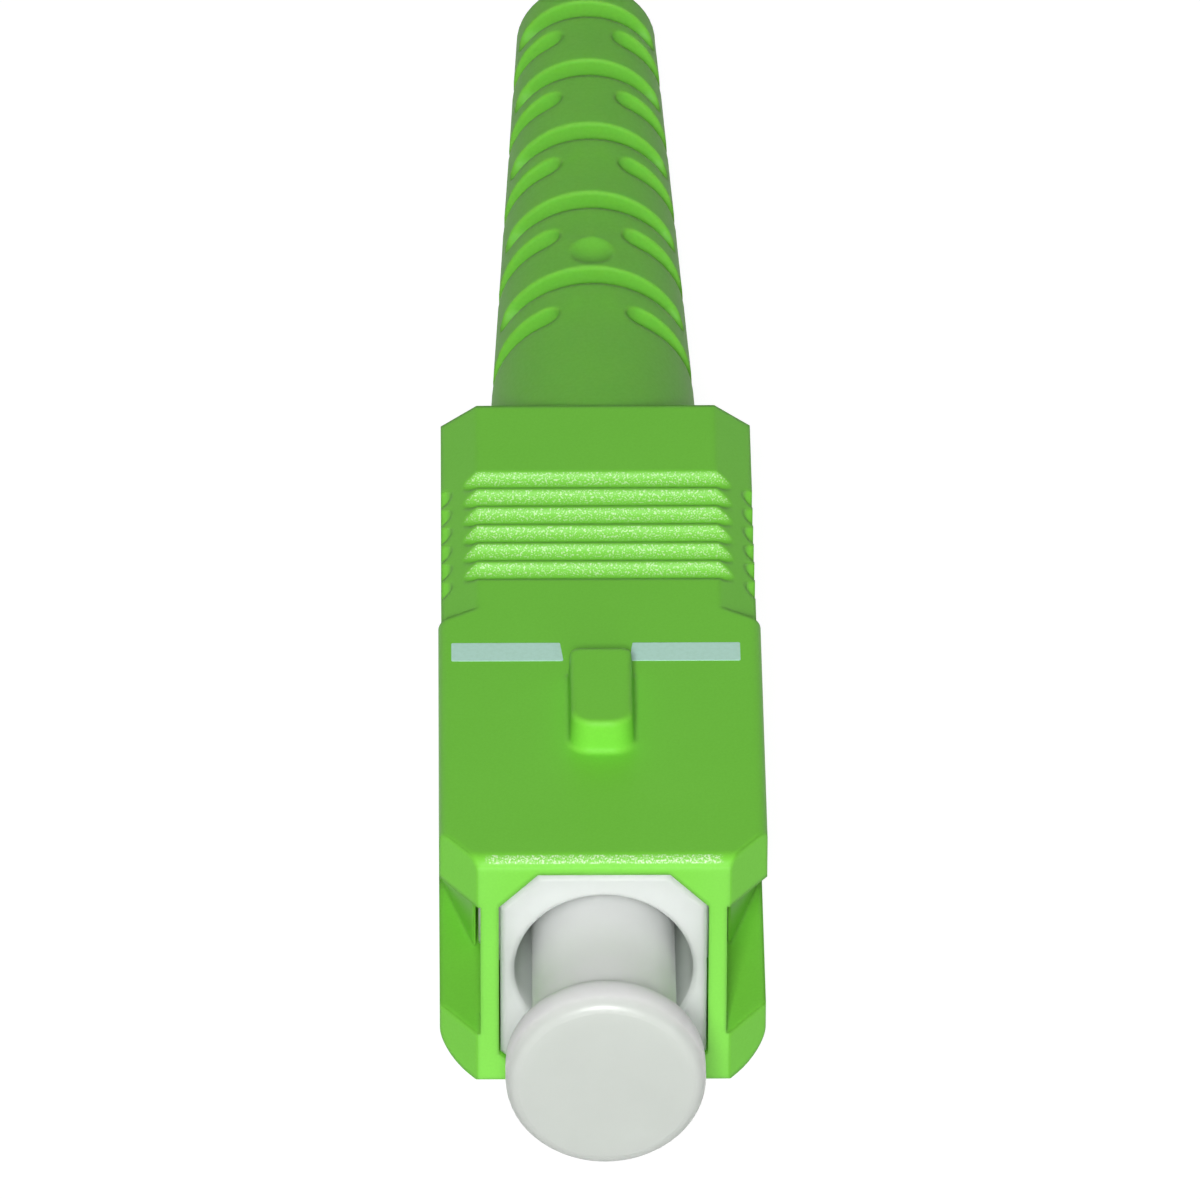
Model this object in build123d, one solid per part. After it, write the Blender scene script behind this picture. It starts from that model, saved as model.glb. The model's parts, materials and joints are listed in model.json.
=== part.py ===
from build123d import *
import math
import os

# A push-pull fibre optic plug, green, with its dust cap on and a slotted boot behind.
# Millimetres. The optical axis lies along Y: the nose plane is Y = 0, the cap is in
# front of it (-Y) and the boot behind it (+Y). Z is up, and the key is on top.

past = 1.0                  # how far a cutter runs past the faces it cuts

# Coupling sleeve, the green grip
sleeve_width = 9.0
sleeve_height = 7.4
sleeve_length = 22.7
sleeve_wall = 0.5           # roof and floor over the plug frame
roof_edge_radius = 0.3      # along the two upper corners of the front block
floor_edge_radius = 0.8
nose_bevel_x = 1.05
nose_bevel_y = 1.46
nose_roof_radius = 0.4
nose_floor_radius = 0.12
shoulder_y = 12.45          # the front block ends here and the grip begins
shoulder_slant = 0.65       # how far the shoulder runs forward at its outer ends
grip_narrowing = 0.1        # each side of the grip
grip_chamfer_x = 1.02
grip_chamfer_z = 0.7

# Finger grooves round the grip, which leave narrow ridges between them
groove_count = 6
groove_pitch = 0.924
groove_depth = 0.28
groove_width = 0.8
groove_start_y = 13.78

# Key on the roof of the sleeve
key_width = 1.85
key_length = 3.9
key_height = 0.95
key_front_y = 5.2
key_front_radius = 0.6
key_rear_radius = 0.25
key_edge_radius = 0.12
key_root_radius = 0.12
key_draft = 4.0             # degrees

# Side recesses for the adapter's hooks, with a bar across each at the nose
recess_half_height = 2.12
bar_thickness = 0.5
bar_length = 1.0
cam_front_y = 4.25
cam_lip = 0.05              # flat front of the cam before its ramp
cam_ramp_length = 3.4
cam_slot_half_height = 0.65
cam_clearance = 0.08
window_end_y = 6.2

# Plug frame, the white inner housing
frame_width = 5.66
frame_length = 19.4
frame_top_chamfer = 1.05
frame_bottom_chamfer = 0.4
frame_edge_chamfer = 0.12
front_bore_radius = 2.46
front_bore_depth = 6.8
ledge_thickness = 1.0
chamber_radius = 2.5
slide_clearance = 0.05      # between the frame and the sleeve, each side

# Hook ridges on the frame's sides
hook_front_y = 3.2
hook_rise = 0.9
hook_flat = 0.6
hook_height = 0.59
hook_half_height = 1.9

# Travel stops on the frame's sides, in pockets of the sleeve
stop_front_y = 13.6
stop_rise = 0.8
stop_flat = 0.8
stop_height = 0.4
stop_half_height = 1.4
sleeve_travel = 2.0
stop_clearance = 0.05

# Ferrule and its holder
ferrule_radius = 1.25
ferrule_length = 10.5
ferrule_tip_y = -1.0
ferrule_tip_angle = 8.0
ferrule_tip_chamfer = 0.3
ferrule_tip_chamfer_length = 0.7
fibre_hole_radius = 0.063
fibre_funnel_radius = 0.42
fibre_funnel_depth = 1.1
ferrule_grip = 2.6          # length of the ferrule inside its holder
collar_wall = 0.43
collar_clearance = 0.07
holder_radius = 2.3
holder_length = 1.95
holder_tail_radius = 1.1
holder_tail_reach = 1.05    # how far the holder's tail enters the rear body
holder_notch_width = 0.8
holder_notch_depth = 0.45
holder_notch_count = 4
seat_gap = 0.04             # face to face gaps along the axis

# Guide tube inside the holder's tail
guide_radius = 0.45
guide_wall = 0.15
guide_clearance = 0.05
guide_end_gap = 0.5         # from the tube's end to the end of the rear body's tail

# Spring
spring_wire = 0.45
spring_radius = 1.72
spring_wire_sides = 6
spring_turns = 6.5

# Rear body
spigot_length = 3.5
spigot_clearance = 0.05
snap_half_width = 1.1
snap_length = 1.4
snap_height = 0.5
snap_offset = 1.3           # from the frame's rear face to the snap's rear face
snap_clearance = 0.1
snap_top_length = 0.3
snap_root_share = 0.6       # the snap's root, against the chamber's radius
snap_front_share = 0.9      # where its slope begins, against the spigot's radius
flange_radius = 2.8
flange_thickness = 1.25
tail_radius = 1.95
tail_length = 6.2
tail_bore_radius = 1.3
tail_groove_count = 3
tail_groove_depth = 0.12

# Crimp sleeve
crimp_wall = 0.35
crimp_clearance = 0.1
crimp_length = 6.3
crimp_neck_length = 0.9

# Boot
cable_diameter = 2.0
cable_clearance = 0.1
boot_start_radius = 3.17    # where it leaves the sleeve
boot_end_radius = 2.06
boot_end_y = 48.2
boot_neck_radius = 2.78
boot_neck_cone = 0.3
boot_fit = 0.03
boot_end_chamfer = 0.12
boot_cavity_end_gap = 0.1
slot_width = 0.95
slot_count = 5
side_slot_y = 29.1
top_slot_y = 30.95
slot_pitch_per_diameter = 0.77
web_share = 0.33            # half width of a web against the boot's radius there
dimple_radius = 0.75
dimple_depth = 0.25
dimple_y = 32.4
sleeve_mouth_clearance = 0.19
mouth_depth = 0.6           # of the sleeve's round mouth, past the sleeve's travel

# Dust cap
cap_shank_radius = 1.975
cap_shank_end_y = 4.8
cap_head_radius = 2.73
cap_head_y = -4.05
cap_head_thickness = 1.5
cap_head_edge = 0.38
cap_dome = 0.16
cap_fit = 0.03
cap_air_gap = 1.5           # between the ferrule's tip and the end of the cap's bore
cap_mouth_chamfer = 0.15

# Places that follow from the sizes above
cavity_half_width = frame_width / 2 + slide_clearance
frame_half_height = sleeve_height / 2 - sleeve_wall - slide_clearance
bar_face_x = cavity_half_width + bar_thickness
cam_inner_x = max(bar_face_x, frame_width / 2 + hook_height) + cam_clearance
ledge_rear_y = front_bore_depth + ledge_thickness
ferrule_rear_y = ferrule_tip_y + ferrule_length
holder_front_y = ledge_rear_y + seat_gap
holder_rear_y = holder_front_y + holder_length
collar_radius = ferrule_radius + collar_wall
flange_front_y = frame_length + seat_gap
flange_rear_y = flange_front_y + flange_thickness
spigot_front_y = flange_front_y - spigot_length
holder_end_y = spigot_front_y + holder_tail_reach
tail_end_y = flange_rear_y + tail_length
guide_end_y = tail_end_y - guide_end_gap
boot_front_y = flange_rear_y + seat_gap
crimp_front_y = flange_rear_y + seat_gap
crimp_inner_radius = tail_radius + crimp_clearance
crimp_radius = crimp_inner_radius + crimp_wall
crimp_end_y = crimp_front_y + crimp_length + crimp_neck_length
cable_bore_radius = cable_diameter / 2 + cable_clearance
crimp_neck_radius = cable_bore_radius + crimp_wall
groove_radius = ((groove_width / 2) ** 2 + groove_depth**2) / (2 * groove_depth)
mouth_front_y = sleeve_length - sleeve_travel - mouth_depth


def prism(section, start_y, end_y):
    """Extrude a section, drawn as (x, z), from start_y to end_y."""
    plane = Plane(origin=(0, start_y, 0), x_dir=(1, 0, 0), z_dir=(0, -1, 0))
    return extrude(plane * section, amount=-(end_y - start_y))


def plan_prism(points, half_height):
    """Extrude an outline, drawn as (x, y), up and down from the axis."""
    return extrude(make_face(Polyline(*points, close=True)), amount=half_height, both=True)


def side_prism(points, half_width):
    """Extrude an outline, drawn as (y, z), to both sides of the axis."""
    face = make_face(Polyline(*points, close=True))
    return extrude(Plane.YZ * face, amount=half_width, both=True)


def block(x_low, x_high, y_low, y_high, z_low, z_high):
    """A box between two corners."""
    middle = Pos((x_low + x_high) / 2, (y_low + y_high) / 2, (z_low + z_high) / 2)
    return middle * Box(x_high - x_low, y_high - y_low, z_high - z_low)


def turned(points):
    """Turn an outline, drawn as (radius, y), about the optical axis."""
    return revolve(make_face(Polyline(*points, close=True)), Axis.Y)


def tube(outer, inner, start_y, end_y):
    """A plain tube on the optical axis."""
    return turned([(inner, start_y), (outer, start_y), (outer, end_y), (inner, end_y)])


def rod(radius, start_y, end_y):
    """A plain rod on the optical axis."""
    return turned([(0, start_y), (radius, start_y), (radius, end_y), (0, end_y)])


def chamfered_section(width, height, cut_x, cut_z):
    """A rectangle with its four corners cut."""
    x = width / 2
    z = height / 2
    corners = [(x - cut_x, z), (x, z - cut_z), (x, cut_z - z), (x - cut_x, -z)]
    mirrored = [(-px, pz) for px, pz in reversed(corners)]
    return make_face(Polyline(*corners, *mirrored, close=True))


def frame_section(grow):
    """The frame's outline, grown by a clearance: its two upper corners are cut wider."""
    x = frame_width / 2 + grow
    z = frame_half_height + grow
    top = frame_top_chamfer + grow * math.tan(math.radians(22.5))
    low = frame_bottom_chamfer + grow * math.tan(math.radians(22.5))
    right = [(x - low, -z), (x, low - z), (x, z - top), (x - top, z)]
    left = [(-px, pz) for px, pz in reversed(right)]
    return make_face(Polyline(*right, *left, close=True))


def front_block():
    """The square front half of the sleeve, with the nose's two bevels."""
    x = sleeve_width / 2
    z = sleeve_height / 2
    body = block(-x, x, 0, shoulder_y, -z, z)
    corners = body.edges().filter_by(Axis.Y).sort_by(Axis.Z)
    body = fillet(corners[:2], floor_edge_radius)
    corners = body.edges().filter_by(Axis.Y).sort_by(Axis.Z)
    body = fillet(corners[-2:], roof_edge_radius)
    nose_x = x - nose_bevel_x
    far = sleeve_width
    plan = [(-nose_x, 0), (nose_x, 0), (x, nose_bevel_y), (far, nose_bevel_y), (far, far * 2)]
    mirrored = [(-far, far * 2), (-far, nose_bevel_y), (-x, nose_bevel_y)]
    body = body & plan_prism(plan + mirrored, sleeve_height)
    lower = body.faces().sort_by(Axis.Y)[0].edges().sort_by(Axis.Z)[0]
    body = fillet(lower, nose_floor_radius)
    upper = body.faces().sort_by(Axis.Y)[0].edges().sort_by(Axis.Z)[-1]
    return fillet(upper, nose_roof_radius)


def grip_section():
    """The grip's outline: a little narrower than the front block, with cut corners."""
    width = sleeve_width - 2 * grip_narrowing
    return chamfered_section(width, sleeve_height, grip_chamfer_x, grip_chamfer_z)


def shoulder_cut(side):
    """What turns one end of the shoulder forward: the cut corners run on to a slant."""
    inner_x = sleeve_width / 2 - grip_narrowing - grip_chamfer_x
    slope = shoulder_slant / grip_chamfer_x
    far_y = shoulder_y - slope * (sleeve_width - inner_x)
    plan = [(inner_x, shoulder_y), (sleeve_width, far_y), (sleeve_width, shoulder_y)]
    corner = plan_prism([(side * x, y) for x, y in plan], sleeve_height)
    return corner - prism(grip_section(), far_y - past, shoulder_y + past)


def finger_grooves():
    """The hollows across the grip's four faces; they run out on its cut corners."""
    lift = groove_radius - groove_depth
    width = sleeve_width - 2 * grip_narrowing
    grooves = []
    for index in range(groove_count):
        y = groove_start_y + (index + 0.5) * groove_pitch
        for side in (-1, 1):
            across = Cylinder(groove_radius, sleeve_width, rotation=(0, 90, 0))
            grooves.append(Pos(0, y, side * (sleeve_height / 2 + lift)) * across)
            upright = Cylinder(groove_radius, sleeve_height)
            grooves.append(Pos(side * (width / 2 + lift), y, 0) * upright)
    return grooves


def grip():
    """The rear half of the sleeve, with hollows across its four faces."""
    body = prism(grip_section(), shoulder_y, sleeve_length)
    for groove in finger_grooves():
        body -= groove
    return body


def key_outline(inset):
    """The key in plan, rounded at its nose and drawn in by the draft."""
    width = key_width - 2 * inset
    outline = Pos(0, key_front_y + key_length / 2) * Rectangle(width, key_length - 2 * inset)
    corners = outline.vertices().sort_by(Axis.Y)
    outline = fillet(corners[:2], key_front_radius)
    rear = outline.vertices().sort_by(Axis.Y)[-2:]
    return fillet(rear, key_rear_radius)


def key():
    """The key that turns the plug the right way up, a little narrower at its top."""
    root_depth = sleeve_wall / 2
    base = sleeve_height / 2 - root_depth
    tall = key_height + root_depth
    inset = tall * math.tan(math.radians(key_draft))
    sections = [Pos(0, 0, base) * key_outline(0), Pos(0, 0, base + tall) * key_outline(inset)]
    body = loft(sections, ruled=True)
    top = body.faces().sort_by(Axis.Z)[-1]
    return fillet(top.edges(), key_edge_radius)


def key_root(body):
    """The edges where the key stands on the roof."""
    roof = sleeve_height / 2
    reach = key_width / 2
    found = []
    for edge in body.edges():
        box = edge.bounding_box()
        level = max(abs(box.min.Z - roof), abs(box.max.Z - roof)) < key_root_radius / 10
        beside = box.max.X < reach and box.min.X > -reach
        if level and beside and box.min.Y > key_front_y and box.max.Y < shoulder_y:
            found.append(edge)
    return found


def hook_recess(side):
    """What is cut from one side of the sleeve for the adapter's hook."""
    far = sleeve_width
    inside_x = frame_width / 4
    ramp_x = sleeve_width / 2 - cam_inner_x - cam_lip
    slope = ramp_x / cam_ramp_length
    ramp_end_y = cam_front_y + cam_ramp_length + (far - sleeve_width / 2) / slope
    outside = [
        (bar_face_x, -past),
        (bar_face_x, bar_length),
        (cam_inner_x, bar_length),
        (cam_inner_x, cam_front_y),
        (cam_inner_x + cam_lip, cam_front_y),
        (far, ramp_end_y),
        (far, -past),
    ]
    window = [
        (inside_x, bar_length),
        (cam_inner_x, bar_length),
        (cam_inner_x, window_end_y),
        (inside_x, window_end_y),
    ]
    slot = [
        (inside_x, bar_length),
        (far, bar_length),
        (far, window_end_y),
        (inside_x, window_end_y),
    ]
    cuts = [
        plan_prism([(side * x, y) for x, y in outside], recess_half_height),
        plan_prism([(side * x, y) for x, y in window], recess_half_height),
        plan_prism([(side * x, y) for x, y in slot], cam_slot_half_height),
    ]
    return cuts


def stop_pocket(side):
    """The pocket that lets one stop of the frame travel, and ends its travel."""
    low_y = stop_front_y - sleeve_travel - stop_clearance
    high_y = stop_front_y + stop_rise + stop_flat + stop_clearance
    depth_x = frame_width / 2 + stop_height + slide_clearance
    z = stop_half_height + stop_clearance
    low_x, high_x = sorted((side * frame_width / 4, side * depth_x))
    return block(low_x, high_x, low_y, high_y, -z, z)


def coupling_sleeve():
    """The green outer sleeve, in one piece with its key."""
    body = front_block() + grip() + key()
    body = fillet(key_root(body), key_root_radius)
    body -= prism(frame_section(slide_clearance), -past, sleeve_length + past)
    body -= rod(boot_start_radius + sleeve_mouth_clearance, mouth_front_y, sleeve_length + past)
    for side in (-1, 1):
        body -= shoulder_cut(side)
        for cut in hook_recess(side):
            body -= cut
        body -= stop_pocket(side)
    return body


def side_wedge(side, start_y, rise, flat, height, half_height):
    """A ramped lug on one side of the frame, steep at its rear."""
    root_x = frame_width / 2 - height / 3
    top_x = frame_width / 2 + height
    points = [(root_x, start_y), (frame_width / 2, start_y), (top_x, start_y + rise)]
    points += [(top_x, start_y + rise + flat), (root_x, start_y + rise + flat)]
    return plan_prism([(side * x, y) for x, y in points], half_height)


def snap_window(grow):
    """The opening across the frame's roof and floor for the rear body's snaps."""
    rear_y = frame_length - snap_offset + grow
    front_y = frame_length - snap_offset - snap_length - grow
    x = snap_half_width + grow
    return block(-x, x, front_y, rear_y, -sleeve_height, sleeve_height)


def plug_frame():
    """The white inner housing: a front bore, a ledge and a chamber for the spring."""
    body = prism(frame_section(0), 0, frame_length)
    rim = body.faces().sort_by(Axis.Y)[0].edges()
    body = chamfer(rim, frame_edge_chamfer)
    for side in (-1, 1):
        body += side_wedge(side, hook_front_y, hook_rise, hook_flat, hook_height, hook_half_height)
        body += side_wedge(side, stop_front_y, stop_rise, stop_flat, stop_height, stop_half_height)
    ledge_hole = collar_radius + collar_clearance
    mouth = front_bore_radius + frame_edge_chamfer
    bore = [
        (0, -past),
        (mouth, -past),
        (mouth, 0),
        (front_bore_radius, frame_edge_chamfer),
        (front_bore_radius, front_bore_depth),
        (ledge_hole, front_bore_depth),
        (ledge_hole, ledge_rear_y),
        (chamber_radius, ledge_rear_y),
        (chamber_radius, frame_length + past),
        (0, frame_length + past),
    ]
    body -= turned(bore)
    return body - snap_window(0)


def ferrule():
    """The ceramic ferrule: slanted end face, chamfered tip, fibre hole with a funnel."""
    tip_radius = ferrule_radius - ferrule_tip_chamfer
    body = turned([
        (0, ferrule_tip_y),
        (tip_radius, ferrule_tip_y),
        (ferrule_radius, ferrule_tip_y + ferrule_tip_chamfer_length),
        (ferrule_radius, ferrule_rear_y),
        (fibre_funnel_radius, ferrule_rear_y),
        (0, ferrule_rear_y),
    ])
    slant = tip_radius * math.tan(math.radians(ferrule_tip_angle))
    wedge = [
        (ferrule_tip_y - past, -2 * tip_radius),
        (ferrule_tip_y - slant, -2 * tip_radius),
        (ferrule_tip_y + 3 * slant, 2 * tip_radius),
        (ferrule_tip_y - past, 2 * tip_radius),
    ]
    body -= side_prism(wedge, 2 * ferrule_radius)
    body -= rod(fibre_hole_radius, ferrule_tip_y - past, ferrule_rear_y + past)
    funnel = [(0, ferrule_rear_y - fibre_funnel_depth), (fibre_funnel_radius, ferrule_rear_y)]
    funnel += [(fibre_funnel_radius, ferrule_rear_y + past), (0, ferrule_rear_y + past)]
    return body - turned(funnel)


def ferrule_holder():
    """The metal holder pressed on the ferrule, with a long tail inside the spring."""
    front_y = ferrule_rear_y - ferrule_grip
    bore = guide_radius + guide_clearance
    body = turned([
        (ferrule_radius, front_y),
        (collar_radius, front_y),
        (collar_radius, holder_front_y),
        (holder_radius, holder_front_y),
        (holder_radius, holder_rear_y),
        (holder_tail_radius, holder_rear_y),
        (holder_tail_radius, holder_end_y),
        (bore, holder_end_y),
        (bore, ferrule_rear_y),
        (ferrule_radius, ferrule_rear_y),
    ])
    for index in range(holder_notch_count):
        turn = index * 360 / holder_notch_count
        low = holder_radius - holder_notch_depth
        half = holder_notch_width / 2
        front = holder_front_y - past
        notch = block(low, holder_radius + past, front, holder_rear_y + past, -half, half)
        body -= Rot(0, turn, 0) * notch
    return body


def guide_tube():
    """The thin tube that leads the fibre from the boot to the ferrule."""
    start_y = ferrule_rear_y + seat_gap
    return tube(guide_radius, guide_radius - guide_wall, start_y, guide_end_y)


def spring():
    """The spring that presses the ferrule forward."""
    start_y = holder_rear_y + seat_gap + spring_wire / 2
    end_y = spigot_front_y - seat_gap - spring_wire / 2
    pitch = (end_y - start_y) / spring_turns
    path = Helix(pitch=pitch, height=end_y - start_y, radius=spring_radius)
    start = Plane(origin=path @ 0, z_dir=path % 0)
    section = RegularPolygon(spring_wire / 2, spring_wire_sides)
    wire = sweep(start * section, path=path)
    return Pos(0, start_y, 0) * Rot(-90, 0, 0) * wire


def rear_body():
    """The metal rear body: a spigot with two snaps, a flange and a grooved tail."""
    spigot_radius = chamber_radius - spigot_clearance
    body = turned([
        (tail_bore_radius, spigot_front_y),
        (spigot_radius, spigot_front_y),
        (spigot_radius, flange_front_y),
        (flange_radius, flange_front_y),
        (flange_radius, flange_rear_y),
        (tail_radius, flange_rear_y),
        (tail_radius, tail_end_y),
        (tail_bore_radius, tail_end_y),
    ])
    spacing = tail_length / (tail_groove_count + 1)
    for index in range(tail_groove_count):
        middle = flange_rear_y + (index + 1) * spacing
        half = spacing / 4
        floor = tail_radius - tail_groove_depth
        body -= tube(tail_radius + past, floor, middle - half, middle + half)
    rear_y = frame_length - snap_offset - snap_clearance
    front_y = frame_length - snap_offset - snap_length + snap_clearance
    top = chamber_radius + snap_height
    half_width = snap_half_width - snap_clearance
    root = chamber_radius * snap_root_share
    for side in (-1, 1):
        points = [(front_y, root), (front_y, spigot_radius * snap_front_share)]
        points += [(rear_y - snap_top_length, top), (rear_y, top), (rear_y, root)]
        snap = side_prism([(y, side * z) for y, z in points], half_width)
        body += snap
    return body - rod(tail_bore_radius, spigot_front_y - past, tail_end_y + past)


def crimp_sleeve():
    """The crimp sleeve over the rear body's tail, with a neck for the jacket."""
    shoulder_front = crimp_front_y + crimp_length
    return turned([
        (crimp_inner_radius, crimp_front_y),
        (crimp_radius, crimp_front_y),
        (crimp_radius, shoulder_front),
        (crimp_neck_radius, shoulder_front + crimp_wall),
        (crimp_neck_radius, crimp_end_y),
        (cable_bore_radius, crimp_end_y),
        (cable_bore_radius, shoulder_front),
        (crimp_inner_radius, shoulder_front),
    ])


def boot_radius(y):
    """The boot's outer radius at y."""
    share = (y - sleeve_length) / (boot_end_y - sleeve_length)
    return boot_start_radius + (boot_end_radius - boot_start_radius) * share


def slot_places(first_y):
    """Slot centres, closer together as the boot gets thinner."""
    places = [first_y]
    while len(places) < slot_count:
        last = places[-1]
        places.append(last + slot_pitch_per_diameter * 2 * boot_radius(last))
    return places


def slot_cutter(y):
    """A pair of slots, cut in from both sides, each with a round inner end."""
    web = boot_radius(y) * web_share
    reach = boot_start_radius * 2
    half = slot_width / 2
    cutters = []
    for side in (-1, 1):
        inner = web + half
        middle = (inner + reach) / 2
        flat = Pos(side * middle, y) * Rectangle(reach - inner, slot_width)
        end = Pos(side * inner, y) * Circle(half)
        cutters.append(extrude(flat + end, amount=reach, both=True))
    return cutters


def boot():
    """The soft boot: a long cone cut by staggered slots that leave narrow webs."""
    cone_end = sleeve_length - seat_gap
    cone_start = cone_end - boot_neck_cone
    cavity = crimp_radius + boot_fit
    cavity_end = crimp_end_y + boot_cavity_end_gap
    tip = boot_end_radius - boot_end_chamfer
    body = turned([
        (cavity, boot_front_y),
        (boot_neck_radius, boot_front_y),
        (boot_neck_radius, cone_start),
        (boot_radius(cone_end), cone_end),
        (boot_radius(boot_end_y - boot_end_chamfer), boot_end_y - boot_end_chamfer),
        (tip, boot_end_y),
        (cable_bore_radius, boot_end_y),
        (cable_bore_radius, cavity_end),
        (cavity, cavity_end),
    ])
    for y in slot_places(side_slot_y):
        for cutter in slot_cutter(y):
            body -= cutter
    for y in slot_places(top_slot_y):
        for cutter in slot_cutter(y):
            body -= Rot(0, 90, 0) * cutter
    ball = (dimple_radius**2 + dimple_depth**2) / (2 * dimple_depth)
    height = boot_radius(dimple_y) - dimple_depth + ball
    return body - Pos(0, dimple_y, height) * Sphere(ball)


def dust_cap():
    """The push-on dust cap: a hollow shank and a round head with a slight dome."""
    bore = ferrule_radius + cap_fit
    bore_end = ferrule_tip_y - cap_air_gap
    face_y = cap_head_y - cap_head_thickness
    body = turned([
        (0, bore_end),
        (bore, bore_end),
        (bore, cap_shank_end_y - cap_mouth_chamfer),
        (bore + cap_mouth_chamfer, cap_shank_end_y),
        (cap_shank_radius, cap_shank_end_y),
        (cap_shank_radius, cap_head_y),
        (cap_head_radius, cap_head_y),
        (cap_head_radius, face_y),
        (0, face_y),
    ])
    ball = (cap_head_radius**2 + cap_dome**2) / (2 * cap_dome)
    body = body & Pos(0, face_y + ball, 0) * Sphere(ball)
    rims = body.edges().filter_by(GeomType.CIRCLE).sort_by(SortBy.LENGTH)[-2:]
    return fillet(rims, cap_head_edge)


pieces = {
    "coupling_sleeve": coupling_sleeve,
    "plug_frame": plug_frame,
    "ferrule": ferrule,
    "ferrule_holder": ferrule_holder,
    "fibre_guide_tube": guide_tube,
    "ferrule_spring": spring,
    "rear_body": rear_body,
    "crimp_sleeve": crimp_sleeve,
    "strain_relief_boot": boot,
    "dust_cap": dust_cap,
}

os.makedirs("parts", exist_ok=True)
for name, make in pieces.items():
    shape = make()
    shape.label = name
    export_step(shape, f"parts/{name}.step")
    print(name, round(shape.volume, 3))
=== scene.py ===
# %% [markdown]
# # A green fibre connector plug with its dust cap
#
# The plug lies on a pale table and looks at us nose first.
# Its solids come from the imported CAD model, which stays as it is.
# This file adds the printed marks, a wound spring, the finishes, the light and the camera.
# Everything is in metres, in the frame of the CAD model.
# The plug's axis runs along Y and the key is on top.
# Sizes that are easier to read in millimetres are written in millimetres and multiplied by MM.

# %% Load the imported model
import json
import math

import bmesh
import bpy
from mathutils import Matrix, Vector


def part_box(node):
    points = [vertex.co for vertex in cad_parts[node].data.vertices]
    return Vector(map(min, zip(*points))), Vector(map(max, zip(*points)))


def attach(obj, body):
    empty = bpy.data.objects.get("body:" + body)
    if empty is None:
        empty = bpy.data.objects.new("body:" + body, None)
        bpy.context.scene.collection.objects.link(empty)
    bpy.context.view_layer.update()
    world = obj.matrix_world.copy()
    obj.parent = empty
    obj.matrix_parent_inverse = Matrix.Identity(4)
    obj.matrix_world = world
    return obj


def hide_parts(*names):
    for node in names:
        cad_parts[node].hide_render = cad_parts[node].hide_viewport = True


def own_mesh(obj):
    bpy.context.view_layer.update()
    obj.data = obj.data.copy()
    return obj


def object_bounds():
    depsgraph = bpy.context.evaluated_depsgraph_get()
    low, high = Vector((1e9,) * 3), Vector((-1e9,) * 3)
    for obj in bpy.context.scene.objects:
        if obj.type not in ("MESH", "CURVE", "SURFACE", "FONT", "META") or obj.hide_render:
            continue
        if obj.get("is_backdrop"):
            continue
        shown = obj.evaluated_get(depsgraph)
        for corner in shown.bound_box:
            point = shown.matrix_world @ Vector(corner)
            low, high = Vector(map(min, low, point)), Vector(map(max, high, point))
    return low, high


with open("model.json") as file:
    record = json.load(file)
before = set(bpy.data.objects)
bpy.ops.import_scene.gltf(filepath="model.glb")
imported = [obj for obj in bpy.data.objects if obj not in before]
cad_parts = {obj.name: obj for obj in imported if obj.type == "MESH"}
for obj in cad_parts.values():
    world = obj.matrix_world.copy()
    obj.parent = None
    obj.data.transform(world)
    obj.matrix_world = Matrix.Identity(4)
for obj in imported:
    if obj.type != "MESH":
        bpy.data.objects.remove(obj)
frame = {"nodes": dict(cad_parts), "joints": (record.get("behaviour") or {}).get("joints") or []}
cad_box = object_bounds()
MM = 0.001
nodes = frame["nodes"]
print("pieces in the frame:", sorted(nodes))

# %% [markdown]
# ## The camera
#
# The photograph was taken with a long lens from about 34 degrees above the table, almost straight in front
# of the nose.
# A long lens flattens the perspective, so the lens length matters as much as the angle.
# It was worked out from the known width of the sleeve near the nose and at its far end.
# The aim is a point on the plug's axis, and a small roll levels the picture as the photograph has it.

# %% Camera from its place, aim, roll and lens
CAMERA_AT = Vector((-5.124, -381.946, 268.337)) * MM
CAMERA_AIM = Vector((0.097, 18.306, 0.0)) * MM
CAMERA_ROLL = 0.00385
CAMERA_REACH = (0.01, 20)   # the nearest and farthest things that the camera sees, in metres
PHOTO_WIDTH = 1200
SENSOR = 36.0
FOCAL_PIXELS = 17002.0


def aimed(place, target, roll=0.0):
    """A matrix that looks from place to target, level with the floor and then rolled."""
    forward = (target - place).normalized()
    right = forward.cross(Vector((0, 0, 1))).normalized()
    up = right.cross(forward)
    side = right * math.cos(roll) + up * math.sin(roll)
    top = up * math.cos(roll) - right * math.sin(roll)
    turn = Matrix((side, top, -forward)).transposed()
    return Matrix.Translation(place) @ turn.to_4x4()


def placed(name, data):
    """A new object of that data, in the scene."""
    made = bpy.data.objects.new(name, data)
    bpy.context.scene.collection.objects.link(made)
    return made


lens = bpy.data.cameras.new("camera")
lens.sensor_fit = "HORIZONTAL"
lens.sensor_width = SENSOR
lens.lens = FOCAL_PIXELS * SENSOR / PHOTO_WIDTH
lens.clip_start, lens.clip_end = CAMERA_REACH
camera = placed("camera", lens)
camera.matrix_world = aimed(CAMERA_AT, CAMERA_AIM, CAMERA_ROLL)
bpy.context.scene.camera = camera
print("lens", round(lens.lens), "mm at", round((CAMERA_AIM - CAMERA_AT).length / MM), "mm from the aim")

# %% [markdown]
# ## A small language for finishes
#
# A finish is a network of nodes, and most of it is plain arithmetic on numbers that change over the
# surface.
# Adding each Math node by hand hides the idea, so one small class wraps a socket and lets Python's own
# operators add the Math nodes.
# Every other kind of node comes from one method, which takes the node's type, its settings and its inputs.

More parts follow.
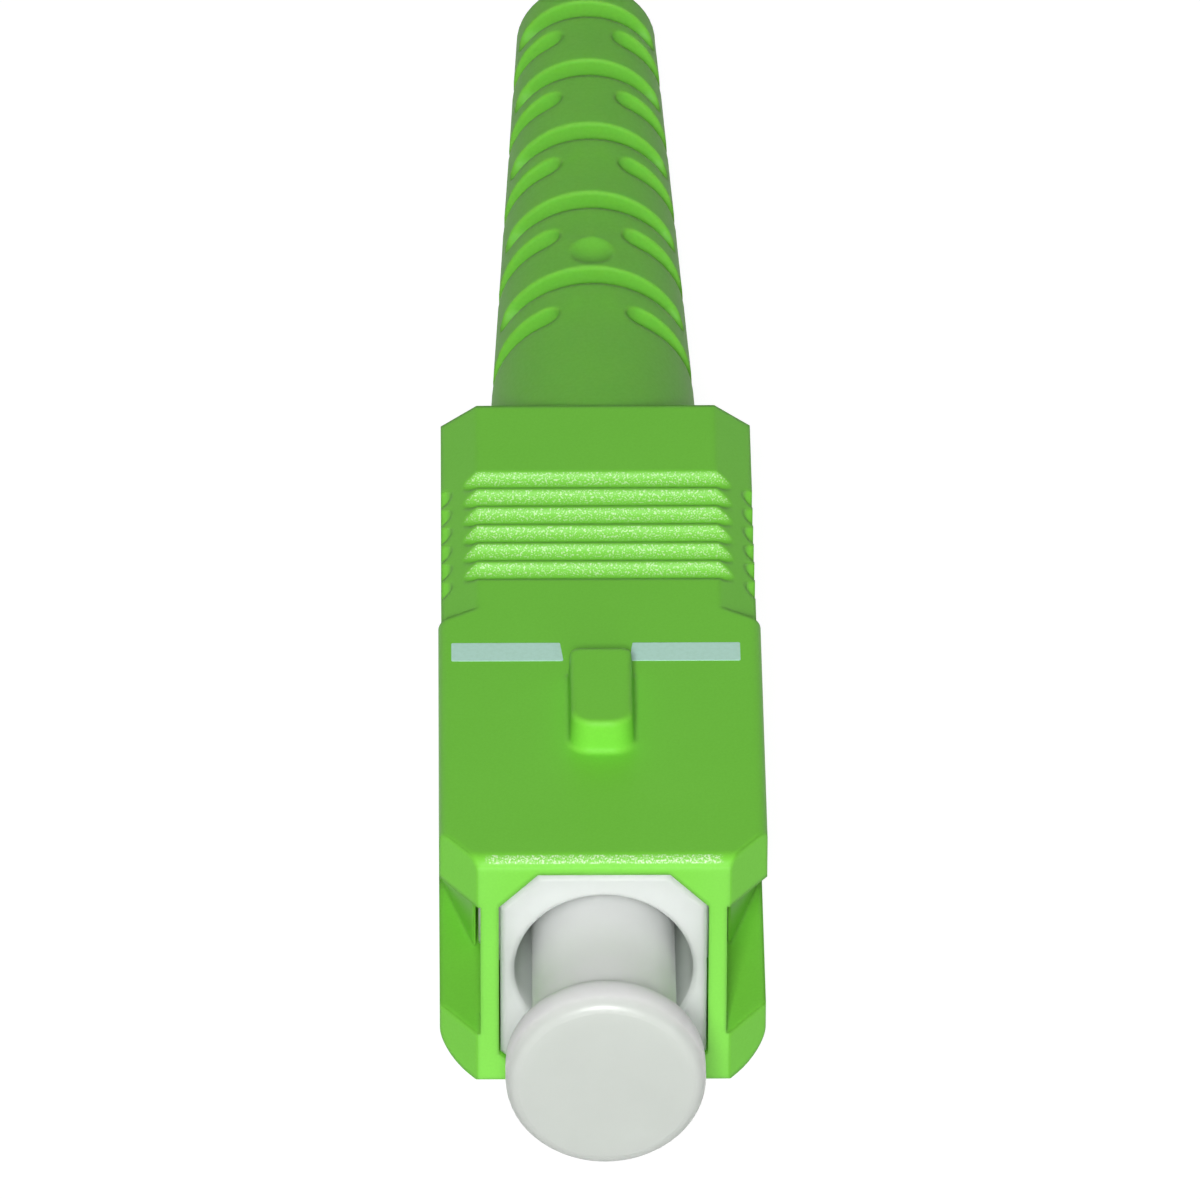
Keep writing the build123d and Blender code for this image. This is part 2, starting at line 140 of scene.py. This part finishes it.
# %% Sockets that can be added and multiplied
class Wave:
    """A number that changes over the surface."""

    def __init__(self, finish, socket):
        self.finish = finish
        self.socket = socket

    def __add__(self, other):
        return self.finish.maths("ADD", self, other)

    def __sub__(self, other):
        return self.finish.maths("SUBTRACT", self, other)

    def __rsub__(self, other):
        return self.finish.maths("SUBTRACT", other, self)

    def __mul__(self, other):
        return self.finish.maths("MULTIPLY", self, other)

    def __neg__(self):
        return self.finish.maths("MULTIPLY", self, -1.0)

    def __abs__(self):
        return self.finish.maths("ABSOLUTE", self)

    __radd__ = __add__
    __rmul__ = __mul__


def linear(colour):
    """The linear colour of an sRGB colour given from 0 to 255."""
    def straight(c):
        c = c / 255
        return c / 12.92 if c <= 0.04045 else ((c + 0.055) / 1.055) ** 2.4
    return (*map(straight, colour), 1.0)


print("a mid grey is", round(linear((128, 128, 128))[0], 3), "in linear light")

# %% [markdown]
# ## The finish kit
#
# A finish starts as one Principled shader.

# %% Finish kit
class Finish:
    """A material of one Principled shader, and the means to feed it."""

    def __init__(self, name):
        self.material = bpy.data.materials.new(name)
        self.material.use_nodes = True
        self.tree = self.material.node_tree
        self.shader = self.tree.nodes["Principled BSDF"]

    def node(self, kind, settings=None, inputs=None):
        """Add a node: its settings first, then the values or links of its sockets."""
        made = self.tree.nodes.new(kind)
        for key, value in (settings or {}).items():
            setattr(made, key, value)
        for key, value in (inputs or {}).items():
            self.feed(made.inputs[key], value)
        return made

    def feed(self, socket, value):
        """Set a socket to a number or a colour, or link it."""
        if isinstance(value, Wave):
            self.tree.links.new(value.socket, socket)
        elif isinstance(value, bpy.types.NodeSocket):
            self.tree.links.new(value, socket)
        else:
            socket.default_value = value

    def maths(self, operation, *values):
        made = self.node("ShaderNodeMath", {"operation": operation}, dict(enumerate(values)))
        return Wave(self, made.outputs[0])

    def set(self, **values):
        """Feed the Principled shader's sockets; an underscore stands for a space."""
        for key, value in values.items():
            self.feed(self.shader.inputs[key.replace("_", " ")], value)

    def spread(self):
        """The place on the piece in millimetres, as a vector that moves with the piece."""
        place = self.node("ShaderNodeTexCoord").outputs["Object"]
        scaled = self.node("ShaderNodeVectorMath", {"operation": "SCALE"}, {0: place, "Scale": 1 / MM})
        return scaled.outputs[0]

    def xyz(self, vector):
        """The three numbers of a vector."""
        parts = self.node("ShaderNodeSeparateXYZ", None, {0: vector}).outputs
        return [Wave(self, part) for part in parts]

    def noise(self, vector, per_mm, detail=2.0, roughness=0.5):
        """Smooth random numbers around a half, with per_mm waves to the millimetre."""
        made = self.node(
            "ShaderNodeTexNoise", None,
            {"Vector": vector, "Scale": per_mm, "Detail": detail, "Roughness": roughness},
        )
        return Wave(self, made.outputs[0])

    def rings(self, place, per_mm, detail=2.0):
        """Noise that changes only along the plug, as marks that run round it do."""
        along = self.node("ShaderNodeCombineXYZ", None, {"Y": self.xyz(place)[1]})
        return self.noise(along.outputs[0], per_mm, detail)

    def ramp(self, number, low, high):
        """0 at low, 1 at high, and smooth between them."""
        made = self.node(
            "ShaderNodeMapRange", {"interpolation_type": "SMOOTHSTEP"},
            {"Value": number, "From Min": low, "From Max": high},
        )
        return Wave(self, made.outputs[0])

    def mix(self, share, first, second):
        """A colour between two colours, each an sRGB triple or a socket."""
        pair = [linear(colour) if isinstance(colour, tuple) else colour for colour in (first, second)]
        made = self.node("ShaderNodeMix", {"data_type": "RGBA"}, {0: share, 6: pair[0], 7: pair[1]})
        return made.outputs[2]

    def bump(self, height, depth_mm, strength=0.5, over=None):
        """A normal from a height of 0 to 1 that stands for depth_mm, laid over another normal."""
        inputs = {"Height": height, "Strength": strength, "Distance": depth_mm * MM}
        if over is not None:
            inputs["Normal"] = over
        return self.node("ShaderNodeBump", None, inputs).outputs[0]

    def soft_edges(self, radius_mm):
        """A normal that turns over a small radius at sharp edges, as a mould's edge does."""
        made = self.node("ShaderNodeBevel", {"samples": 4}, {"Radius": radius_mm * MM})
        return made.outputs[0]

    def done(self):
        """The finished material."""
        print(self.material.name, "is made of", len(self.tree.nodes), "nodes")
        return self.material


print("finish kit ready")

# %% [markdown]
# ## The green of the sleeve
#
# The sleeve is moulded from a hard, slightly shiny green plastic.
# Its flat faces are satin, with a fine grain such as a spark-eroded mould leaves.
# In the finger grooves and along the nose's upper edge it glitters in tiny pale points.
# So the finish is a fine bump everywhere, and in those two places it is a little smoother.
# The glints there are painted highlights: points of a paler green in the colour, small enough to read as a
# sparkle.
# In the grooves they lie on the faces that look to the front, with a painted pale wash as well; on the nose
# they lie in a strip along the rounded upper edge.
# The nose's flat front is paler than the rest in the photograph.
# Why isn't known; a thin coat there brings the render nearer to it.

# %% Sleeve finish
SLEEVE_TOP = 3.7            # how high the sleeve's top lies above the axis
GROOVES = (13.78, 19.32)    # where the finger grooves start and end
# Where the painted highlight lies on the nose's rounded upper edge, and how far it reaches to each side of
# the middle.
NOSE_HIGHLIGHT_STRIP = (0.09, 0.3)    # the glittering strip on the nose's rounded upper edge
NOSE_HIGHLIGHT_STRIP_HALF = 3.3       # how far that strip reaches to each side of the middle
NOSE_COATED = 0.12          # how far back from the nose's front the thin coat fades out
SLEEVE_GREENS = ((119, 208, 62), (124, 212, 67))
SLEEVE_SHADE = (88, 170, 40)
# Painted highlight colours: a pale wash for the grooves and the pale points of the painted glints.
GROOVE_PAINTED_HIGHLIGHT = (200, 236, 160)
PAINTED_GLINT_PALE = (224, 246, 206)


def sleeve_finish():
    finish = Finish("sleeve_green_moulded")
    place = finish.spread()
    x, y, z = finish.xyz(place)
    front = -finish.xyz(finish.node("ShaderNodeNewGeometry").outputs["Normal"])[1]
    clouds = finish.noise(place, per_mm=0.35, detail=3)
    grain = finish.noise(place, per_mm=14.0, detail=3, roughness=0.6)
    points = finish.noise(place, per_mm=20.0, detail=1, roughness=0.3)

    in_grooves = finish.ramp(y, GROOVES[0] - 0.1, GROOVES[0]) * finish.ramp(y, GROOVES[1] + 0.1, GROOVES[1])
    in_grooves = in_grooves * finish.ramp(abs(z), SLEEVE_TOP - 0.7, SLEEVE_TOP - 0.4)
    # A strip of painted highlight along the nose's rounded upper edge.
    nose_painted_highlight = finish.ramp(y, NOSE_HIGHLIGHT_STRIP[1], NOSE_HIGHLIGHT_STRIP[1] - 0.05)
    nose_painted_highlight = nose_painted_highlight * finish.ramp(y, NOSE_HIGHLIGHT_STRIP[0] - 0.03, NOSE_HIGHLIGHT_STRIP[0])
    nose_painted_highlight = nose_painted_highlight * finish.ramp(z, SLEEVE_TOP - 0.25, SLEEVE_TOP - 0.15)
    nose_painted_highlight = nose_painted_highlight * finish.ramp(abs(x), NOSE_HIGHLIGHT_STRIP_HALF, NOSE_HIGHLIGHT_STRIP_HALF - 0.2)
    # Where the glints are painted: on the grooves' faces that look to the front, and in the nose strip; there
    # the sleeve is also a little smoother.
    smooth_and_painted_glint = finish.maths("MAXIMUM", in_grooves * finish.ramp(front, 0.1, 0.5), nose_painted_highlight)
    coated = finish.ramp(y, NOSE_COATED, 0.0) * finish.ramp(front, 0.9, 0.98)

    # Painted glints: pale points in the colour, in the grooves and, softer, along the nose strip.
    painted_glint_points = finish.ramp(points, 0.5, 0.72) * smooth_and_painted_glint + finish.ramp(points, 0.35, 0.65) * nose_painted_highlight * 0.5
    green = finish.mix(clouds, *SLEEVE_GREENS)
    green = finish.mix(finish.ramp(grain, 0.3, 0.7) * 0.1, green, SLEEVE_SHADE)
    # Painted highlight: a pale wash on the grooves' front faces, then the pale points of the painted glints.
    green = finish.mix(smooth_and_painted_glint * 0.08, green, GROOVE_PAINTED_HIGHLIGHT)
    green = finish.mix(finish.maths("MINIMUM", painted_glint_points * 0.6, 0.85), green, PAINTED_GLINT_PALE)
    finish.set(
        Base_Color=green,
        Roughness=0.44 - 0.1 * smooth_and_painted_glint + 0.1 * (grain - 0.5),
        Specular_IOR_Level=0.16,
        Coat_Weight=coated,
        Coat_Roughness=0.35,
        Normal=finish.bump(grain, depth_mm=0.006, strength=0.6, over=finish.soft_edges(0.24)),
    )
    return finish.done()


sleeve_green = sleeve_finish()

# %% [markdown]
# ## The soft green of the boot
#
# The boot is a softer plastic than the sleeve, a little darker and more matt.
# Its finish is the same idea with other numbers: less shine, a coarser grain, and a little light that goes in
# and comes out again, which was chosen to bring the boot's tones nearer to the photograph.

# %% Boot finish
BOOT_GREENS = ((113, 195, 64), (118, 199, 67))
BOOT_SHADE = (84, 160, 42)


def boot_finish():
    finish = Finish("boot_green_soft")
    place = finish.spread()
    clouds = finish.noise(place, per_mm=0.5)
    grain = finish.noise(place, per_mm=9.0, detail=3, roughness=0.6)
    green = finish.mix(clouds, *BOOT_GREENS)
    green = finish.mix(finish.ramp(grain, 0.3, 0.7) * 0.12, green, BOOT_SHADE)
    finish.set(
        Base_Color=green,
        Roughness=0.55 + 0.12 * (grain - 0.5),
        Specular_IOR_Level=0.2,
        Subsurface_Weight=0.6,
        Subsurface_Radius=(1.0, 0.8, 0.4),
        Subsurface_Scale=0.6 * MM,
        Normal=finish.bump(grain, depth_mm=0.008, over=finish.soft_edges(0.22)),
    )
    return finish.done()


boot_green = boot_finish()

# %% [markdown]
# ## The white frame
#
# The frame inside the sleeve is a plain white moulding, satin, with a faint grey here and there.
# White plastic lets light in and gives it back nearby, so it scatters under the surface as well.

# %% Frame finish
FRAME_WHITES = ((234, 241, 237), (227, 235, 231))
EVEN = (1.0, 1.0, 1.0)      # light of every colour goes equally far in


def frame_finish():
    finish = Finish("frame_white_moulded")
    place = finish.spread()
    grain = finish.noise(place, per_mm=12.0, detail=3, roughness=0.6)
    clouds = finish.noise(place, per_mm=0.6, detail=3)
    finish.set(
        Base_Color=finish.mix(clouds, *FRAME_WHITES),
        Roughness=0.4 + 0.15 * (grain - 0.5),
        Specular_IOR_Level=0.4,
        Subsurface_Weight=0.8,
        Subsurface_Radius=EVEN,
        Subsurface_Scale=3.0 * MM,
        Normal=finish.bump(grain, depth_mm=0.003, over=finish.soft_edges(0.15)),
    )
    return finish.done()


frame_white = frame_finish()

# %% [markdown]
# ## The frosted dust cap
#
# The dust cap looks like plastic without pigment: milky, soft and waxy.
# Light goes a little way in and comes out again, so the cap mixes scattering under the surface with a little
# rough transmission.
# The head is darker than the shank behind it in the photograph, so head and shank have milks of their own.
# The difference between the two milks is painted light and shade, not a second plastic: the shank's milk is
# paler, the head's darker.

# %% Cap finish
# The paler shank milk and the darker head milk are painted light and shade on the one plastic of the cap.
HEAD_PAINTED_SHADE_MILKS = ((200, 205, 199), (194, 199, 193))
SHANK_PAINTED_LIGHT_MILKS = ((252, 253, 251), (247, 250, 246))
CAP_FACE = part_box("dust_cap")[0].y / MM
MILK_CHANGE = (0.2, 0.6)    # where, behind the cap's face, one milk turns into the other


def cap_finish():
    finish = Finish("cap_frosted_wax")
    place = finish.spread()
    clouds = finish.noise(place, per_mm=0.8, detail=3)
    grain = finish.noise(place, per_mm=10.0, detail=3, roughness=0.6)
    head_painted_shade = finish.mix(clouds, *HEAD_PAINTED_SHADE_MILKS)
    shank_painted_light = finish.mix(clouds, *SHANK_PAINTED_LIGHT_MILKS)
    # Painted light and shade: the head gets the darker milk and the shank the paler one.
    behind_face = finish.ramp(finish.xyz(place)[1], CAP_FACE + MILK_CHANGE[0], CAP_FACE + MILK_CHANGE[1])
    finish.set(
        Base_Color=finish.mix(behind_face, head_painted_shade, shank_painted_light),
        Roughness=0.36 + 0.14 * (grain - 0.5),
        IOR=1.5,
        Transmission_Weight=0.04,
        Subsurface_Weight=0.95,
        Subsurface_Radius=EVEN,
        Subsurface_Scale=1.5 * MM,
        Normal=finish.bump(grain, depth_mm=0.004),
    )
    return finish.done()


cap_wax = cap_finish()

# %% [markdown]
# ## The ceramic ferrule
#
# The ferrule shows once the cap is off.
# Such ferrules are ground zirconia, white and glossy, and here it has faint rings from the grinding.

# %% Ferrule finish
def ceramic_finish():
    finish = Finish("ferrule_zirconia")
    place = finish.spread()
    rings = finish.rings(place, per_mm=30.0)
    clouds = finish.noise(place, per_mm=1.0)
    finish.set(
        Base_Color=finish.mix(clouds, (240, 238, 230), (232, 231, 224)),
        Roughness=0.16 + 0.1 * (rings - 0.5),
        Coat_Weight=0.3,
        Normal=finish.bump(rings, depth_mm=0.001, strength=0.4),
    )
    return finish.done()


ferrule_ceramic = ceramic_finish()

# %% [markdown]
# ## Turned and drawn metal
#
# These pieces lie inside the frame and the boot, so their finishes follow what such plugs usually have.
# The holder and the rear body are nickel plated brass with turning marks.
# The spring is drawn steel wire, and the crimp sleeve is a duller grey metal.

# %% Metal finishes
def metal_finish(name, light, dark, dullness, rings_per_mm, depth_mm):
    """Turned or drawn metal: marks run round the axis, and dull patches break the shine."""
    finish = Finish(name)
    place = finish.spread()
    round_marks = finish.rings(place, rings_per_mm, detail=3)
    patches = finish.noise(place, per_mm=0.9, detail=4)
    finish.set(
        Base_Color=finish.mix(patches, light, dark),
        Metallic=1.0,
        Roughness=dullness + 0.2 * (patches - 0.5) + 0.1 * (round_marks - 0.5),
        Normal=finish.bump(round_marks, depth_mm, over=finish.soft_edges(0.04)),
    )
    return finish.done()


holder_nickel = metal_finish(
    "holder_nickel_turned", (212, 206, 194), (196, 188, 172),
    dullness=0.25, rings_per_mm=20.0, depth_mm=0.002,
)
body_nickel = metal_finish(
    "body_nickel_turned", (208, 204, 196), (190, 184, 172),
    dullness=0.3, rings_per_mm=16.0, depth_mm=0.002,
)
crimp_grey = metal_finish(
    "crimp_grey_metal", (186, 188, 190), (166, 168, 170),
    dullness=0.38, rings_per_mm=10.0, depth_mm=0.003,
)
spring_steel = metal_finish(
    "spring_drawn_steel", (176, 178, 182), (150, 152, 156),
    dullness=0.3, rings_per_mm=24.0, depth_mm=0.001,
)

# %% [markdown]
# ## The clear guide tube
#
# A short clear tube leads the fibre into the holder.
# It is hidden as well, and more than half of the light goes through its wall.

# %% Guide tube finish
def tube_finish():
    finish = Finish("guide_tube_clear_plastic")
    clouds = finish.noise(finish.spread(), per_mm=1.5)
    finish.set(
        Base_Color=finish.mix(clouds, (236, 238, 238), (224, 228, 230)),
        Roughness=0.2 + 0.1 * clouds,
        IOR=1.45,
        Transmission_Weight=0.6,
    )
    return finish.done()


tube_clear = tube_finish()

# %% [markdown]
# ## Dress the solids
#
# Each solid of the CAD model has one material slot, and its finish goes there.

# %% Put each finish on its node
FINISHES = {
    "coupling_sleeve": sleeve_green,
    "strain_relief_boot": boot_green,
    "plug_frame": frame_white,
    "dust_cap": cap_wax,
    "ferrule": ferrule_ceramic,
    "ferrule_holder": holder_nickel,
    "rear_body": body_nickel,
    "crimp_sleeve": crimp_grey,
    "ferrule_spring": spring_steel,
    "fibre_guide_tube": tube_clear,
}
for name, material in FINISHES.items():
    for slot in nodes[name].material_slots:
        slot.material = material
    print(name, "wears", material.name)

# %% [markdown]
# ## A wound spring
#
# When the ferrule is pushed in, the spring behind it gets shorter: its front end goes back with the holder
# and its rear end stays on the rear body.
# A solid spring would be pushed into the rear body instead, so the solid one is hidden and a wound wire of
# the same size takes its place.
# It rides with the ferrule.

# %% Wound spring in the place of the solid one
SPRING_TURNS = 6.5
SPRING_STEPS = 24           # steps to one turn of the wire
SPRING_WIRE = 0.45


def wound_wire(front, rear, radius):
    """A mesh of round wire, wound round the plug's axis from front to rear."""
    line = bpy.data.curves.new("spring_line", "CURVE")
    line.dimensions = "3D"
    line.bevel_depth = SPRING_WIRE / 2 * MM
    line.bevel_resolution = 2
    line.use_fill_caps = True
    steps = round(SPRING_TURNS * SPRING_STEPS)
    wire = line.splines.new("POLY")
    wire.points.add(steps)
    for step, point in enumerate(wire.points):
        angle = 2 * math.pi * step / SPRING_STEPS
        along = front + (rear - front) * step / steps
        point.co = (radius * math.cos(angle) * MM, along * MM, radius * math.sin(angle) * MM, 1)
    drawn = bpy.data.objects.new("spring_line", line)
    wound = bpy.data.meshes.new_from_object(drawn)
    bpy.data.objects.remove(drawn)
    return wound


spring_low, spring_high = [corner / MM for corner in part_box("ferrule_spring")]
spring_length = spring_high.y - spring_low.y
wire_mesh = wound_wire(
    front=spring_low.y + SPRING_WIRE / 2,
    rear=spring_high.y - SPRING_WIRE / 2,
    radius=(spring_high.x - spring_low.x - SPRING_WIRE) / 2,
)
wire_mesh.materials.clear()
wire_mesh.materials.append(spring_steel)
wire_mesh.shade_smooth()
spring = placed("spring_wound", wire_mesh)
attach(spring, "ferrule_unit")
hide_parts("ferrule_spring")
retract = next(joint for joint in frame["joints"] if joint["name"] == "ferrule_retract")
spring_travel = retract["range_m"][1] / MM
1 - spring_travel / spring_length
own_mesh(spring)
print("spring shortens from", round(spring_length, 2), "by", round(spring_travel, 2), "mm")

# %% [markdown]
# ## The two printed marks
#
# Two pale bars are printed on the sleeve's top, one on each side of the key's rear end.
# They look like ink, so each is a thin pad of its own, with a crisp outline that a painted mask would lose.
# How thick the ink is can't be seen; here it is a hundredth of a millimetre, with drawn-in rims.

# %% Ink finish
INK_PALES = ((196, 240, 224), (190, 235, 217))


def ink_finish():
    finish = Finish("mark_pale_ink")
    place = finish.spread()
    cover = finish.noise(place, per_mm=6.0, detail=3, roughness=0.6)
    grain = finish.noise(place, per_mm=14.0, detail=3, roughness=0.6)
    finish.set(
        Base_Color=finish.mix(finish.ramp(cover, 0.35, 0.7), *INK_PALES),
        Roughness=0.5 + 0.1 * (grain - 0.5),
        Normal=finish.bump(grain, depth_mm=0.004),
    )
    return finish.done()


ink = ink_finish()

# %% Outline of a printed bar
INK_CORNER = 0.05
INK_SLANT = 0.08            # how much further each bar runs towards the key at its front
CORNER_STEPS = 4
CORNERS = ((1, 1), (-1, 1), (-1, -1), (1, -1))


def bar_outline(half_x, half_y, key_side):
    """A rectangle with rounded corners, whose front corner on the side of the key is drawn out."""
    ring = []
    for number, (side_x, side_y) in enumerate(CORNERS):
        slant = INK_SLANT * key_side if (side_x, side_y) == (key_side, -1) else 0
        for step in range(CORNER_STEPS + 1):
            angle = math.pi / 2 * (number + step / CORNER_STEPS)
            ring.append((
                side_x * (half_x - INK_CORNER) + INK_CORNER * math.cos(angle) + slant,
                side_y * (half_y - INK_CORNER) + INK_CORNER * math.sin(angle),
            ))
    return ring


print("each bar's outline has", len(CORNERS) * (CORNER_STEPS + 1), "points")

# %% Printed marks on the sleeve
MARK_ALONG = (9.72, 10.62)  # where the bars start and end along the plug
MARK_LEFT = (-4.14, -1.11)  # where each bar starts and ends across the plug
MARK_RIGHT = (0.90, 3.90)
INK_HEIGHT = 0.01
INK_SUNK = 0.006            # how deep a bar's underside lies in the sleeve
INK_RIM = 0.02              # how far its top edge draws in


def ink_bar(name, left, right, material):
    """A thin printed bar with rounded corners and a slanted inner end, lying on the sleeve's top."""
    half_x = (right - left) / 2
    half_y = (MARK_ALONG[1] - MARK_ALONG[0]) / 2
    ring = bar_outline(half_x, half_y, key_side=1 if abs(right) < abs(left) else -1)
    mesh = bmesh.new()
    rows = []
    for height, rim in ((-INK_SUNK, 0), (INK_HEIGHT * 0.6, 0), (INK_HEIGHT, INK_RIM)):
        rows.append([
            mesh.verts.new((px * (1 - rim / half_x) * MM, py * (1 - rim / half_y) * MM, height * MM))
            for px, py in ring
        ])
    for low, high in zip(rows, rows[1:]):
        for i in range(len(ring)):
            j = (i + 1) % len(ring)
            mesh.faces.new((low[i], low[j], high[j], high[i]))
    mesh.faces.new(rows[-1])
    mesh.faces.new(list(reversed(rows[0])))
    data = bpy.data.meshes.new(name)
    mesh.to_mesh(data)
    mesh.free()
    data.materials.append(material)
    bar = placed(name, data)
    bar.location = Vector(((left + right) / 2, sum(MARK_ALONG) / 2, SLEEVE_TOP)) * MM
    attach(bar, "sleeve")
    return bar


for name, sides in (("mark_left", MARK_LEFT), ("mark_right", MARK_RIGHT)):
    bar = ink_bar(name, *sides, ink)
    print(bar.name, "is", round(bar.dimensions.x / MM, 2), "by", round(bar.dimensions.y / MM, 2), "mm")

# %% [markdown]
# ## The table
#
# The table is a light grey, so that it throws less light under the plug.
# A glow that only the camera, mirrors and glass can see lifts it to white, and the plug's soft shadow stays.

# %% Table
FLOOR_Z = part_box("coupling_sleeve")[0].z
FLOOR_SIZE = 3.0
TABLE_GREYS = ((190, 190, 190), (186, 186, 186))
TABLE_GLOW = 1.35           # strength of the glow that the camera sees
GLOW_SHARE = 0.7
WHITE = (1, 1, 1, 1)


def seen_directly(finish):
    """1 for rays from the camera, from a mirror or through glass, and 0 for light that bounces."""
    path = finish.node("ShaderNodeLightPath").outputs
    rays = [Wave(finish, path[name]) for name in ("Is Camera Ray", "Is Glossy Ray", "Is Transmission Ray")]
    return finish.maths("MAXIMUM", finish.maths("MAXIMUM", rays[0], rays[1]), rays[2])


def floor_finish():
    finish = Finish("table_white")
    dust = finish.noise(finish.spread(), per_mm=0.05, detail=3)
    finish.set(Base_Color=finish.mix(dust, *TABLE_GREYS), Roughness=0.7)
    glow = finish.node("ShaderNodeEmission", None, {"Color": WHITE, "Strength": TABLE_GLOW})
    both = finish.node(
        "ShaderNodeMixShader", None,
        {0: seen_directly(finish) * GLOW_SHARE, 1: finish.shader.outputs[0], 2: glow.outputs[0]},
    )
    finish.feed(finish.tree.nodes["Material Output"].inputs["Surface"], both.outputs[0])
    return finish.done()


half = FLOOR_SIZE / 2
floor_mesh = bpy.data.meshes.new("table")
floor_mesh.from_pydata([(x * half, y * half, 0) for x, y in CORNERS], [], [(0, 1, 2, 3)])
floor_mesh.materials.append(floor_finish())
floor = placed("table", floor_mesh)
floor.location.z = FLOOR_Z
floor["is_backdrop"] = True
print("table at", round(FLOOR_Z / MM, 3), "mm")

# %% [markdown]
# ## The backdrop
#
# The world is white to the camera, to mirrors and through glass.
# To the surfaces that it lights it is only a weak, even fill.

# %% World
WORLD_FILL = 0.04


class Backdrop(Finish):
    """The world's node tree, with the same helpers as a finish."""

    def __init__(self, tree):
        self.tree = tree


world = bpy.data.worlds.new("studio")
world.use_nodes = True
bpy.context.scene.world = world
backdrop = Backdrop(world.node_tree)
background = world.node_tree.nodes["Background"]
backdrop.feed(background.inputs["Color"], WHITE)
backdrop.feed(background.inputs["Strength"], WORLD_FILL + (1 - WORLD_FILL) * seen_directly(backdrop))
print("world fill", WORLD_FILL)

# %% [markdown]
# ## The lamps
#
# The photograph is lit from the front: faces that look at the camera are much brighter than the tops.
# A square lamp stands almost on the camera's own line, farther back.
# A weaker, larger one fills in from low in front.

# %% Lamps
LAMP_AIM = Vector((0, 12, 0)) * MM
LAMPS = (
    # name, place in metres, side in metres, power in watts
    ("front_key", (-0.04, -0.69, 0.475), 0.14, 7.3),
    ("low_front", (0.05, -0.69, 0.19), 0.26, 0.7),
)


def soft_lamp(name, place, size, power):
    """A square lamp that looks at the plug."""
    light = bpy.data.lights.new(name, "AREA")
    light.shape = "SQUARE"
    light.size = size
    light.energy = power
    lamp = placed(name, light)
    lamp.matrix_world = aimed(Vector(place), LAMP_AIM)
    lamp.visible_camera = False
    return lamp


for values in LAMPS:
    lamp = soft_lamp(*values)
    print(lamp.name, "gives", round(lamp.data.energy, 2), "W")

# %% [markdown]
# ## Hand over
#
# The view transform is the plain one, so that no film curve changes the colours.
# The last lines note the size of the dressed model next to that of the CAD model.

# %% Colour management and sizes
bpy.context.scene.view_settings.view_transform = "Standard"
dressed_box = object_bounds()
for title, box in (("CAD box", cad_box), ("dressed box", dressed_box)):
    print(title, [[round(v / MM, 2) for v in corner] for corner in box])
